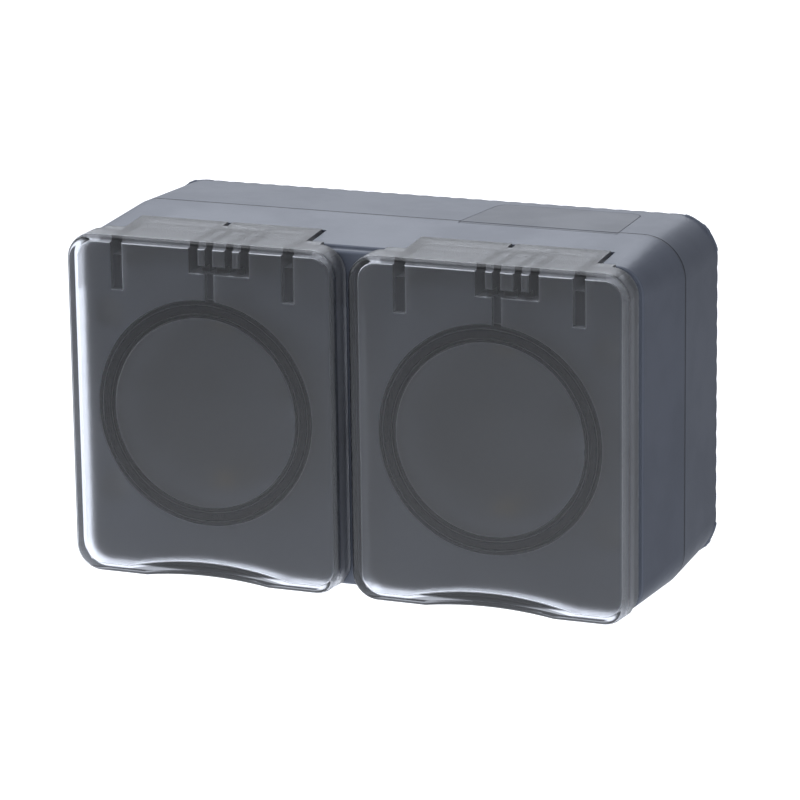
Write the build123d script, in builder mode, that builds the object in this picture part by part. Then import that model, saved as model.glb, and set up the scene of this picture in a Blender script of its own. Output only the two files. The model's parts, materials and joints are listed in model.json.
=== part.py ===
from build123d import *
import os

# Double surface-mounted outdoor socket with two hinged lids. Millimetres, +X right, +Z up, +Y into the wall.
# The origin is the middle of the face that lies on the wall, and depths are counted from the wall to the front.

# Case, with width and height taken at the joint line between the two mouldings, where it is widest
case_width = 134.0
case_height = 80.2
case_corner = 9.6
seam_depth = 25.2
back_draft = 0.7
front_draft = 1.75
housing_length = 23.3
wall = 2.6
back_wall = 2.6
back_edge_round = 0.8
rim_height = 2.5
rim_inset = 0.6
rim_round = 0.7
front_corner = 6.0
front_edge_round = 0.5

# Joint between the mouldings
groove_width = 1.2
groove_depth = 1.0
gasket_clearance = 0.05

# Lids
lid_gap = 3.0
lid_clearance = 0.45
lid_depth = 6.85
lid_face = 2.2
lid_wall = 1.8
lid_top_rise = 0.55
lid_edge_round = 1.2
scoop_width = 29.7
scoop_rise = 1.15
scoop_wall = 3.25
scoop_pad_width = 38.5

# Ring on the inside of each lid, two thin ribs with a rubber ring between them
ring_outer_radius = 25.4
ring_inner_radius = 21.7
ring_rib = 0.8
ring_rib_height = 3.0
ring_fit = 0.1

# Hinge plate on top of each lid, its arms, and the comb that the spring bears on
plate_reach = 11.45
plate_width = 43.4
lip_reach = 2.4
lip_thickness = 0.8
arm_width = 2.6
arm_drop = 3.9
arm_foot_depth = 2.5
arm_foot_length = 12.3
comb_offset = 4.2
comb_outer_prong = 2.1
comb_inner_prong = 1.65
comb_slot = 1.8
comb_middle = 3.1
comb_drop = 7.3
comb_bar_depth = 4.2
comb_bar_height = 1.6
comb_bar_clearance = 0.15
spine_width = 1.9
spine_height = 2.0
notch_width = 1.1
notch_length = 3.0

# Hinge pin, spring and the pocket in the housing
hinge_setback = 3.4
hinge_drop = 2.1
knuckle_radius = 2.0
pin_radius = 0.8
pin_running_clearance = 0.06
pin_seat_clearance = 0.02
spring_wire = 0.5
spring_pin_clearance = 0.1
spring_turns = 9
spring_pocket_clearance = 0.2
spring_leg_margin = 1.0
leg_socket_depth = 1.2
leg_socket_clearance = 0.1
pocket_side_clearance = 0.3
pocket_sweep_clearance = 0.3
pocket_floor_clearance = 0.5
pocket_wall = 1.8
pocket_slot_width = 0.3

# Socket wells, for round plugs with two pins and side earth contacts
well_radius = 19.9
well_depth = 18.0
well_floor_thickness = 3.0
cup_wall = 1.8
cup_fit = 0.2
pin_spacing = 19.0
pin_hole_radius = 2.6
pin_hole_lead = 0.6
guide_rib_height = 1.8
guide_rib_width = 4.8
ear_offset = 3.8
ear_side_angle = 25
ear_radius = 2.6
ear_thickness = 2.0
ear_depth_below_face = 9.0
boss_radius = 2.8

# Contacts behind the wells
carrier_width = 106.0
carrier_height = 37.0
carrier_corner = 3.0
carrier_plate = 3.0
carrier_floor_gap = 17.0
bar_thickness = 1.0
bar_width = 5.0
bar_offset = 8.0
contact_width = 5.0
contact_sheet = 0.7
contact_gap = 5.2
contact_pinch = 0.55
contact_lead = 0.5
contact_length = 11.5
contact_bend = 0.8
chimney_width = 10.0
chimney_height = 9.0
chimney_wall = 1.0
chimney_length = 11.0
chimney_slot_clearance = 0.3
clip_sheet = 0.8
clip_width = 5.0
clip_bend = 1.2
clip_wall_gap = 0.7
clip_nose = 1.9
clip_tip_below_face = 4.0
clip_nose_length = 3.0
clip_shoulder_length = 8.0
clip_slot_clearance = 0.4
clip_seat = 6.0
clip_post_offset = 14.5
clip_post_width = 6.0
earth_bar_overhang = 3.2

# Terminals
terminal_width = 7.0
terminal_height = 8.0
terminal_depth = 10.0
terminal_spacing = 0.8
wire_hole_radius = 1.7
wire_hole_rise = 3.2

# Screws: shank radius, head radius, head height and how far the shank is driven in
housing_screw = 1.9
housing_screw_head = 3.4
housing_screw_head_height = 2.4
housing_screw_grip = 14.0
housing_screw_sink = 5.0
screw_edge = 8.6
screw_spacing = 40.0
column_radius = 4.2
small_screw = 1.25
small_screw_head = 2.2
small_screw_head_height = 1.6
small_screw_grip = 5.0
terminal_screw = 1.75
terminal_screw_head = 2.5
terminal_screw_head_height = 1.8
hole_clearance = 0.1
tap_clearance = 0.05
recess_width = 0.7
recess_share = 0.6
carrier_screw_inset = 4.0
pillar_radius = 3.2

# Wall fixing
fixing_spacing_x = 96.0
fixing_spacing_z = 56.0
fixing_hole_radius = 2.25

# Cable entry insert in the top of the back box, in line with the right lid
insert_front_width = 36.6
insert_rear_width = 33.4
insert_rear_depth = 4.0
insert_corner = 3.0
insert_fit = 0.12
insert_flange = 1.6
insert_flange_thickness = 1.6
insert_tab = 1.2
insert_tab_thickness = 0.6

# Depths of the main planes
edge_depth = seam_depth + housing_length
face_depth = edge_depth + rim_height
lid_back = face_depth + lid_clearance
lid_front = lid_back + lid_depth
lid_inside = lid_front - lid_face
well_floor = face_depth - well_depth
cup_back = well_floor - well_floor_thickness
ear_front = face_depth - ear_depth_below_face
carrier_front = well_floor - carrier_floor_gap
carrier_back = carrier_front - carrier_plate
bar_front = carrier_front + bar_thickness
clip_back = carrier_front + clip_seat
clip_front = clip_back + clip_sheet
earth_bar_front = clip_front + bar_thickness
screw_seat = face_depth - housing_screw_sink

# Half sizes and places seen from the front
half_width = case_width / 2
half_height = case_height / 2
front_half_width = half_width - front_draft
front_half_height = half_height - front_draft
lid_width = front_half_width - lid_gap / 2
lid_x = lid_gap / 2 + lid_width / 2
lid_top = front_half_height + lid_top_rise
lid_height = lid_top + front_half_height
lid_z = (lid_top - front_half_height) / 2
screw_x = half_width - screw_edge
carrier_screw_x = carrier_width / 2 - carrier_screw_inset
carrier_screw_z = carrier_height / 2 - carrier_screw_inset
cup_radius = well_radius + cup_wall
ear_center = cup_radius + ear_offset
clip_leg_z = well_radius - clip_wall_gap - clip_sheet / 2
terminal_offset = terminal_width + terminal_spacing

# Hinge axis, pocket and spring. Behind the case's front edge the plate rises with the case's sloping top, and its
# rear corner sweeps the circle that the pocket is kept clear of
top_slope = front_draft / housing_length
plate_rear = lid_back - plate_reach
plate_half = plate_width / 2
hinge_depth = plate_rear + hinge_setback
plate_rear_z = lid_top + (edge_depth - plate_rear) * top_slope
hinge_z = lid_top + (edge_depth - hinge_depth) * top_slope - hinge_drop
plate_middle = lid_top - lid_wall / 2
plate_under = lid_top - lid_wall
comb_bottom = lid_top - comb_drop
bar_top = comb_bottom + comb_bar_height
plate_sweep = (hinge_setback**2 + (plate_rear_z - hinge_z) ** 2) ** 0.5
pocket_back = hinge_depth - plate_sweep - pocket_sweep_clearance
pocket_floor = comb_bottom - pocket_floor_clearance
pocket_half = plate_half + pocket_side_clearance
comb_width = 2 * (comb_outer_prong + comb_slot + comb_inner_prong) + comb_middle
comb_left = comb_offset - comb_width / 2
comb_right = comb_offset + comb_width / 2
first_slot = comb_left + comb_outer_prong + comb_slot / 2
last_slot = comb_right - comb_outer_prong - comb_slot / 2
inner_prong_left = first_slot + (comb_slot + comb_inner_prong) / 2
inner_prong_right = last_slot - (comb_slot + comb_inner_prong) / 2
spring_radius = pin_radius + spring_pin_clearance + spring_wire / 2
spring_hollow = spring_radius + spring_wire / 2 + spring_pocket_clearance
spring_leg_z = hinge_z - spring_radius
notch_x = comb_left + comb_outer_prong + notch_width / 2

sides = {"left": -1, "right": 1}
screw_places = [(x, z) for x in (-screw_x, screw_x) for z in (-screw_spacing / 2, screw_spacing / 2)]
pillar_places = [
    (x, z) for x in (-carrier_screw_x, carrier_screw_x) for z in (-carrier_screw_z, carrier_screw_z)
]
fixing_places = [
    (x, z)
    for x in (-fixing_spacing_x / 2, fixing_spacing_x / 2)
    for z in (-fixing_spacing_z / 2, fixing_spacing_z / 2)
]
# Each cup has an ear at its bottom and one at each side, raised clear of the screw columns
ear_angles = (ear_side_angle, 180 - ear_side_angle, 270)
ear_places = {
    side: [Vector(sign * lid_x, 0) + Vector(ear_center, 0).rotate(Axis.Z, angle) for angle in ear_angles]
    for side, sign in sides.items()
}
# Pin places along the row: one contact of each well on the line bar, the other on the neutral bar
line_pins = [-lid_x - pin_spacing / 2, lid_x - pin_spacing / 2]
neutral_pins = [-lid_x + pin_spacing / 2, lid_x + pin_spacing / 2]

os.makedirs("parts", exist_ok=True)


def at_depth(depth):
    """Sketch plane parallel to the wall: local x is +X, local y is +Z and its normal points to the front."""
    return Plane.XZ.offset(depth)


def save(piece, name):
    """Label a finished piece and write it."""
    piece.label = name
    export_step(piece, f"parts/{name}.step")


def frustum(rear_depth, rear_size, front_depth, front_size):
    """Rounded block between two planes, each size given as width, height and corner radius."""
    with BuildPart() as block:
        for depth, size in ((rear_depth, rear_size), (front_depth, front_size)):
            with BuildSketch(at_depth(depth)):
                RectangleRounded(*size)
        loft(ruled=True)
    return block.part


def case_size(inset, narrowing, corner):
    """Width, height and corner radius of the case's outline, inset all round."""
    shrink = 2 * (inset + narrowing)
    return case_width - shrink, case_height - shrink, corner - inset


def cross_screw(shank, length, head, head_height):
    """Screw with a cross recess: its seat is at the origin, its head to the front, its tip to the wall."""
    recess_depth = head_height * recess_share
    recess_length = 2 * head * recess_share
    with BuildPart() as screw:
        with BuildSketch(Plane.XZ):
            Circle(head)
        extrude(amount=head_height)
        fillet(screw.faces().sort_by(Axis.Y)[0].edges(), head_height / 3)
        with BuildSketch(Plane.XZ):
            Circle(shank)
        extrude(amount=-length)
        chamfer(screw.faces().sort_by(Axis.Y)[-1].edges(), shank / 2)
        with BuildSketch(at_depth(head_height)):
            Rectangle(recess_length, recess_width)
            Rectangle(recess_width, recess_length)
        extrude(amount=-recess_depth, mode=Mode.SUBTRACT)
    return screw.part


def insert_outline(grow):
    """Outline of the cable entry from above, narrower towards the wall, grown on its three closed sides."""
    front = insert_front_width / 2 + grow
    rear = insert_rear_width / 2 + grow
    rear_y = -insert_rear_depth + grow
    with BuildSketch() as outline:
        with Locations((lid_x, 0)):
            Polygon((-front, -seam_depth), (front, -seam_depth), (rear, rear_y), (-rear, rear_y), align=None)
        fillet(outline.vertices().group_by(Axis.Y)[-1], insert_corner + grow)
    return outline.sketch


# Outer forms and hollows of the two mouldings
back_size = case_size(0, back_draft, case_corner)
seam_size = case_size(0, 0, case_corner)
front_size = case_size(0, front_draft, front_corner)
back_form = frustum(0, back_size, seam_depth, seam_size)
back_hollow = frustum(
    back_wall, case_size(wall, back_draft, case_corner), seam_depth, case_size(wall, 0, case_corner)
)
front_form = frustum(seam_depth, seam_size, edge_depth, front_size)
front_hollow = frustum(
    seam_depth, case_size(wall, 0, case_corner), edge_depth, case_size(wall, front_draft, front_corner)
)

# Ring at the middle of the joint's wall, for the groove and its gasket
groove_middle = wall / 2


def seam_ring(width):
    """Flat ring that follows the joint, centred on the wall."""
    with BuildSketch(at_depth(seam_depth)) as ring:
        RectangleRounded(*case_size(groove_middle - width / 2, 0, case_corner))
        RectangleRounded(*case_size(groove_middle + width / 2, 0, case_corner), mode=Mode.SUBTRACT)
    return ring.sketch


seam_groove = extrude(seam_ring(groove_width), amount=-groove_depth)

# Back box
with BuildPart() as back_box:
    add(back_form)
    fillet(back_box.faces().sort_by(Axis.Y)[-1].edges(), back_edge_round)
    add(back_hollow, mode=Mode.SUBTRACT)
    # screw bosses up to the joint, and lower pillars under the contact carrier
    with BuildSketch(at_depth(back_wall)):
        with Locations(*screw_places):
            Circle(column_radius)
    extrude(amount=seam_depth - back_wall)
    with BuildSketch(at_depth(back_wall)):
        with Locations(*pillar_places):
            Circle(pillar_radius)
    extrude(amount=carrier_back - back_wall)
    with BuildSketch(at_depth(seam_depth)):
        with Locations(*screw_places):
            Circle(housing_screw + tap_clearance)
    extrude(amount=-housing_screw_grip - hole_clearance, mode=Mode.SUBTRACT)
    with BuildSketch(at_depth(carrier_back)):
        with Locations(*pillar_places):
            Circle(small_screw + tap_clearance)
    extrude(amount=-small_screw_grip - hole_clearance, mode=Mode.SUBTRACT)
    # wall fixing holes
    with BuildSketch(at_depth(back_wall)):
        with Locations(*fixing_places):
            Circle(fixing_hole_radius)
    extrude(amount=-back_wall, mode=Mode.SUBTRACT)
    # opening for the cable entry insert, through the top wall only
    with BuildSketch(Plane.XY.offset(half_height)):
        add(insert_outline(insert_fit))
    extrude(amount=-wall - back_draft - insert_fit, mode=Mode.SUBTRACT)
    add(seam_groove, mode=Mode.SUBTRACT)
save(back_box.part, "back_box")

# Cable entry insert: a plug flush with the top of the box, a flange behind the wall and a tab over the joint
insert_plug = extrude(Plane.XY.offset(half_height) * insert_outline(0), amount=-wall - back_draft)
flange_top = half_height - wall
flange_drop = back_draft + insert_flange_thickness
insert_back = extrude(Plane.XY.offset(flange_top) * insert_outline(insert_flange), amount=-flange_drop)
with BuildPart() as cable_entry_insert:
    add(insert_plug)
    add(back_form, mode=Mode.INTERSECT)
    add(insert_back & back_hollow)
    add(seam_groove, mode=Mode.SUBTRACT)
    with BuildSketch(at_depth(seam_depth)):
        with Locations((lid_x, half_height - front_draft * insert_tab / housing_length)):
            Rectangle(insert_front_width, insert_tab_thickness, align=(Align.CENTER, Align.MAX))
    extrude(amount=insert_tab)
save(cable_entry_insert.part, "cable_entry_insert")

# Gasket in the groove of the joint
with BuildPart() as housing_gasket:
    add(extrude(seam_ring(groove_width - 2 * gasket_clearance), amount=-groove_depth))
save(housing_gasket.part, "housing_gasket")

# Front housing: its hollow leaves the hinge pockets, the screw columns and the cup bosses standing
with BuildPart() as housing_hollow:
    add(front_hollow)
    with BuildSketch(at_depth(pocket_back - pocket_wall)):
        for sign in sides.values():
            with Locations((sign * lid_x - pocket_half - pocket_wall, pocket_floor - pocket_wall)):
                Rectangle(
                    2 * (pocket_half + pocket_wall) + pocket_slot_width,
                    half_height - pocket_floor + pocket_wall,
                    align=Align.MIN,
                )
    extrude(amount=edge_depth - pocket_back + pocket_wall, mode=Mode.SUBTRACT)
    with BuildSketch(at_depth(seam_depth)):
        with Locations(*screw_places):
            Circle(column_radius)
    extrude(amount=housing_length, mode=Mode.SUBTRACT)
    with BuildSketch(at_depth(ear_front)):
        for places in ear_places.values():
            with Locations(*places):
                Circle(boss_radius)
    extrude(amount=edge_depth - ear_front, mode=Mode.SUBTRACT)

with BuildPart() as front_housing:
    add(front_form)
    fillet(front_housing.faces().sort_by(Axis.Y)[0].edges(), front_edge_round)
    with BuildSketch(at_depth(edge_depth - front_edge_round)):
        RectangleRounded(*case_size(rim_inset, front_draft, front_corner))
    extrude(amount=rim_height + front_edge_round)
    fillet(front_housing.faces().sort_by(Axis.Y)[0].edges(), rim_round)
    add(housing_hollow.part, mode=Mode.SUBTRACT)
    # openings for the socket cups
    with BuildSketch(at_depth(edge_depth)):
        with Locations(*[(sign * lid_x, 0) for sign in sides.values()]):
            Circle(cup_radius + cup_fit)
    extrude(amount=rim_height, mode=Mode.SUBTRACT)
    for side, sign in sides.items():
        pocket_x = sign * lid_x
        # pocket for the lid's hinge plate, open to the top and the front, with a slot beside the plate
        with BuildSketch(at_depth(pocket_back)):
            with Locations((pocket_x - pocket_half, pocket_floor)):
                Rectangle(2 * pocket_half + pocket_slot_width, case_height, align=Align.MIN)
        extrude(amount=lid_front - pocket_back, mode=Mode.SUBTRACT)
        # socket for the spring's rear leg
        with BuildSketch(at_depth(pocket_back)):
            with Locations((pocket_x + notch_x, spring_leg_z)):
                Circle(spring_wire / 2 + leg_socket_clearance)
        extrude(amount=-leg_socket_depth - leg_socket_clearance, mode=Mode.SUBTRACT)
        # seats of the hinge pin in the pocket's side walls
        with BuildSketch(Plane.YZ.offset(pocket_x - pocket_half - pocket_wall)):
            with Locations((-hinge_depth, hinge_z)):
                Circle(pin_radius + pin_seat_clearance)
        extrude(amount=2 * (pocket_half + pocket_wall) + pocket_slot_width, mode=Mode.SUBTRACT)
        # pilot holes for the cup screws
        with BuildSketch(at_depth(ear_front)):
            with Locations(*ear_places[side]):
                Circle(small_screw + tap_clearance)
        extrude(amount=small_screw_grip + hole_clearance, mode=Mode.SUBTRACT)
    # stepped holes for the housing screws
    with BuildSketch(at_depth(seam_depth)):
        with Locations(*screw_places):
            Circle(housing_screw + hole_clearance)
    extrude(amount=face_depth - seam_depth, mode=Mode.SUBTRACT)
    with BuildSketch(at_depth(screw_seat)):
        with Locations(*screw_places):
            Circle(housing_screw_head + hole_clearance)
    extrude(amount=housing_screw_sink, mode=Mode.SUBTRACT)
    # shallow seat for the tab of the cable entry insert
    with BuildSketch(at_depth(seam_depth)):
        with Locations((lid_x, half_height)):
            Rectangle(
                insert_front_width + 2 * insert_fit,
                2 * (insert_tab_thickness + insert_fit + front_draft * insert_tab / housing_length),
            )
    extrude(amount=insert_tab + insert_fit, mode=Mode.SUBTRACT)
save(front_housing.part, "front_housing")

# Housing screws
housing_screw_length = screw_seat - seam_depth + housing_screw_grip
long_screw = cross_screw(housing_screw, housing_screw_length, housing_screw_head, housing_screw_head_height)
with BuildPart() as housing_screws:
    with Locations(*[(x, -screw_seat, z) for x, z in screw_places]):
        add(long_screw)
save(housing_screws.part, "housing_screws")

# Socket cups
for side, sign in sides.items():
    cup_x = sign * lid_x
    with BuildPart() as cup:
        with BuildSketch(at_depth(cup_back)):
            with Locations((cup_x, 0)):
                Circle(cup_radius)
        extrude(amount=well_floor_thickness + well_depth)
        # ears for the screws
        with BuildSketch(at_depth(ear_front - ear_thickness)):
            for angle in ear_angles:
                with Locations(Location((cup_x, 0, 0), (0, 0, angle))):
                    Rectangle(ear_center, 2 * ear_radius, align=(Align.MIN, Align.CENTER))
            with Locations(*ear_places[side]):
                Circle(ear_radius)
        extrude(amount=ear_thickness)
        with BuildSketch(at_depth(ear_front - ear_thickness)):
            with Locations(*ear_places[side]):
                Circle(small_screw + hole_clearance)
        extrude(amount=ear_thickness, mode=Mode.SUBTRACT)
        # well with a guide rib at each side
        with BuildSketch(at_depth(well_floor)):
            with Locations((cup_x, 0)):
                Circle(well_radius)
            with Locations((cup_x - well_radius, 0), (cup_x + well_radius, 0)):
                Rectangle(2 * guide_rib_height, guide_rib_width, mode=Mode.SUBTRACT)
        extrude(amount=well_depth, mode=Mode.SUBTRACT)
        # pin holes and slots for the earth clip
        with BuildSketch(at_depth(cup_back)):
            with Locations((cup_x - pin_spacing / 2, 0), (cup_x + pin_spacing / 2, 0)):
                Circle(pin_hole_radius)
            with Locations((cup_x, -clip_leg_z), (cup_x, clip_leg_z)):
                Rectangle(clip_width + 2 * clip_slot_clearance, clip_sheet + 2 * clip_slot_clearance)
        extrude(amount=well_floor_thickness, mode=Mode.SUBTRACT)
        mouths = cup.faces().filter_by(Plane.XZ).sort_by(Axis.Y)
        floor_face = [face for face in mouths if abs(face.center().Y + well_floor) < hole_clearance][0]
        holes = [e for e in floor_face.edges().filter_by(GeomType.CIRCLE) if e.radius < well_radius / 2]
        chamfer(holes, pin_hole_lead)
    save(cup.part, f"{side}_socket_cup")

# Cup screws, driven from behind into the bosses of the front housing
small_cup_screw = cross_screw(
    small_screw, ear_thickness + small_screw_grip, small_screw_head, small_screw_head_height
)
with BuildPart() as cup_screws:
    for places in ear_places.values():
        for place in places:
            with Locations(Location((place.X, ear_thickness - ear_front, place.Y), (0, 0, 180))):
                add(small_cup_screw)
save(cup_screws.part, "cup_screws")

# Contact carrier on the pillars of the back box
with BuildPart() as contact_carrier:
    with BuildSketch(at_depth(carrier_back)):
        RectangleRounded(carrier_width, carrier_height, carrier_corner)
    extrude(amount=carrier_plate)
    # chimney round each pin contact, open to the bar that it stands on
    with BuildSketch(at_depth(carrier_front)):
        with Locations(*[(x, 0) for x in line_pins + neutral_pins]):
            Rectangle(chimney_width, chimney_height)
            Rectangle(
                chimney_width - 2 * chimney_wall, chimney_height - 2 * chimney_wall, mode=Mode.SUBTRACT
            )
    extrude(amount=chimney_length)
    with BuildSketch(at_depth(carrier_front)):
        for pins, direction in ((line_pins, Align.MIN), (neutral_pins, Align.MAX)):
            with Locations(*[(x, 0) for x in pins]):
                Rectangle(
                    contact_width + 2 * chimney_slot_clearance,
                    chimney_height,
                    align=(Align.CENTER, direction),
                )
    extrude(amount=bar_thickness + chimney_slot_clearance, mode=Mode.SUBTRACT)
    # posts under the earth clips
    clip_posts = [(s * lid_x, z) for s in sides.values() for z in (-clip_post_offset, clip_post_offset)]
    with BuildSketch(at_depth(carrier_front)):
        with Locations(*clip_posts):
            Rectangle(clip_post_width, clip_width)
    extrude(amount=clip_seat)
    with BuildSketch(at_depth(clip_back)):
        with Locations(*clip_posts):
            Circle(small_screw + tap_clearance)
    extrude(amount=-small_screw_grip - hole_clearance, mode=Mode.SUBTRACT)
    with BuildSketch(at_depth(carrier_back)):
        with Locations(*pillar_places):
            Circle(small_screw + hole_clearance)
    extrude(amount=carrier_plate, mode=Mode.SUBTRACT)
save(contact_carrier.part, "contact_carrier")

carrier_screw = cross_screw(
    small_screw, carrier_plate + small_screw_grip, small_screw_head, small_screw_head_height
)
with BuildPart() as carrier_screws:
    with Locations(*[(x, -carrier_front, z) for x, z in pillar_places]):
        add(carrier_screw)
save(carrier_screws.part, "carrier_screws")

# Line and neutral busbars, each a flat strip with two sprung pin contacts bent out of it
for name, pins, direction in (("line", line_pins, 1), ("neutral", neutral_pins, -1)):
    with BuildPart() as busbar:
        with BuildSketch(at_depth(carrier_front)):
            with Locations(((pins[0] + pins[1]) / 2, direction * bar_offset)):
                Rectangle(pins[1] - pins[0] + contact_width, bar_width)
            with Locations(*[(x, direction * (bar_offset - contact_width / 2) / 2) for x in pins]):
                Rectangle(contact_width, bar_offset + contact_width / 2)
        extrude(amount=bar_thickness)
        for x in pins:
            base_y = contact_sheet / 2 - bar_front
            tip_y = base_y - contact_length
            leaf = (contact_gap - contact_sheet) / 2
            pinch_y = tip_y + contact_length / 4
            with BuildSketch(Plane.XY.offset(-contact_width / 2)):
                with BuildLine():
                    FilletPolyline(
                        (x - leaf + contact_pinch - contact_lead, tip_y),
                        (x - leaf + contact_pinch, pinch_y),
                        (x - leaf, base_y),
                        (x + leaf, base_y),
                        (x + leaf - contact_pinch, pinch_y),
                        (x + leaf - contact_pinch + contact_lead, tip_y),
                        radius=contact_bend,
                    )
                trace(line_width=contact_sheet)
            extrude(amount=contact_width)
    save(busbar.part, f"{name}_busbar")

# Earth clips: one strap for each well, bent forward into the well at both ends
for side, sign in sides.items():
    clip_x = sign * lid_x
    strap_y = -clip_back - clip_sheet / 2
    tip_y = clip_tip_below_face - face_depth
    nose_y = tip_y + clip_nose_length
    shoulder_y = nose_y + clip_shoulder_length
    with BuildPart() as earth_clip:
        with BuildSketch(Plane.YZ.offset(clip_x - clip_width / 2)):
            with BuildLine():
                FilletPolyline(
                    (tip_y, clip_leg_z),
                    (nose_y, clip_leg_z - clip_nose),
                    (shoulder_y, clip_leg_z),
                    (strap_y, clip_leg_z),
                    (strap_y, -clip_leg_z),
                    (shoulder_y, -clip_leg_z),
                    (nose_y, -clip_leg_z + clip_nose),
                    (tip_y, -clip_leg_z),
                    radius=clip_bend,
                )
            trace(line_width=clip_sheet)
        extrude(amount=clip_width)
        with BuildSketch(at_depth(clip_back)):
            with Locations((clip_x, -clip_post_offset), (clip_x, clip_post_offset)):
                Circle(small_screw + hole_clearance)
        extrude(amount=clip_sheet, mode=Mode.SUBTRACT)
    save(earth_clip.part, f"{side}_earth_clip")

# Earth bar across the upper ends of the two clips
with BuildPart() as earth_bar:
    with BuildSketch(at_depth(clip_front)):
        with Locations((0, clip_post_offset)):
            Rectangle(2 * (lid_x + earth_bar_overhang), bar_width)
        with Locations((-lid_x, clip_post_offset), (lid_x, clip_post_offset)):
            Circle(small_screw + hole_clearance, mode=Mode.SUBTRACT)
    extrude(amount=bar_thickness)
save(earth_bar.part, "earth_bar")

# Earth screws: the upper two hold the bar and the clip, the lower two the clip alone
bar_screw = cross_screw(
    small_screw,
    bar_thickness + clip_sheet + small_screw_grip,
    small_screw_head,
    small_screw_head_height,
)
clip_screw = cross_screw(
    small_screw, clip_sheet + small_screw_grip, small_screw_head, small_screw_head_height
)
with BuildPart() as earth_screws:
    with Locations(*[(s * lid_x, -earth_bar_front, clip_post_offset) for s in sides.values()]):
        add(bar_screw)
    with Locations(*[(s * lid_x, -clip_front, -clip_post_offset) for s in sides.values()]):
        add(clip_screw)
save(earth_screws.part, "earth_screws")

# Terminals: blocks that stand on the bars, with a wire hole and a clamping screw from the front
terminal_places = {
    "line": (-terminal_offset, bar_front, bar_offset),
    "neutral": (terminal_offset, bar_front, -bar_offset),
    "earth": (0, earth_bar_front, clip_post_offset),
}
for name, (x, depth, z) in terminal_places.items():
    with BuildPart() as terminal:
        with BuildSketch(at_depth(depth)):
            with Locations((x, z)):
                Rectangle(terminal_width, terminal_height)
        extrude(amount=terminal_depth)
        with BuildSketch(Plane.XY.offset(z - terminal_height / 2)):
            with Locations((x, -depth - wire_hole_rise)):
                Circle(wire_hole_radius)
        extrude(amount=terminal_height, mode=Mode.SUBTRACT)
        with BuildSketch(at_depth(depth + terminal_depth)):
            with Locations((x, z)):
                Circle(terminal_screw + tap_clearance)
        extrude(amount=wire_hole_rise - terminal_depth, mode=Mode.SUBTRACT)
    save(terminal.part, f"{name}_terminal")

terminal_screw_length = terminal_depth - wire_hole_rise - wire_hole_radius
clamp_screw = cross_screw(
    terminal_screw, terminal_screw_length, terminal_screw_head, terminal_screw_head_height
)
with BuildPart() as terminal_screws:
    with Locations(*[(x, -depth - terminal_depth, z) for x, depth, z in terminal_places.values()]):
        add(clamp_screw)
save(terminal_screws.part, "terminal_screws")

# Torsion spring round the hinge axis: a coil on the pin, its front leg turned down to the comb's bar and its rear
# leg in the housing's socket
coil_length = last_slot - notch_x
coil_start = Vector(notch_x, 0, -spring_radius)
coil_end = Vector(last_slot, 0, -spring_radius)
front_leg = lid_inside - hinge_depth - spring_leg_margin
front_drop = spring_leg_z - bar_top - comb_bar_clearance
front_bend = coil_end - Vector(0, front_leg, 0)
rear_leg = hinge_depth - pocket_back + leg_socket_depth
coil_plane = Plane(origin=(notch_x, 0, 0), x_dir=(0, 0, -1), z_dir=(1, 0, 0))
coil = coil_plane * Helix(coil_length / spring_turns, coil_length, spring_radius, lefthand=True)
with BuildPart() as spring:
    with BuildSketch(Plane(origin=coil @ 0, z_dir=coil % 0)):
        Circle(spring_wire / 2)
    sweep(path=coil, is_frenet=True)
    for start, direction, length in (
        (coil_start, (0, 1, 0), rear_leg),
        (coil_end, (0, -1, 0), front_leg),
        (front_bend, (0, 0, -1), front_drop),
    ):
        with BuildSketch(Plane(origin=start, z_dir=direction)):
            Circle(spring_wire / 2)
        extrude(amount=length)
    with Locations(coil_start, coil_end, front_bend):
        Sphere(spring_wire / 2)

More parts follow.
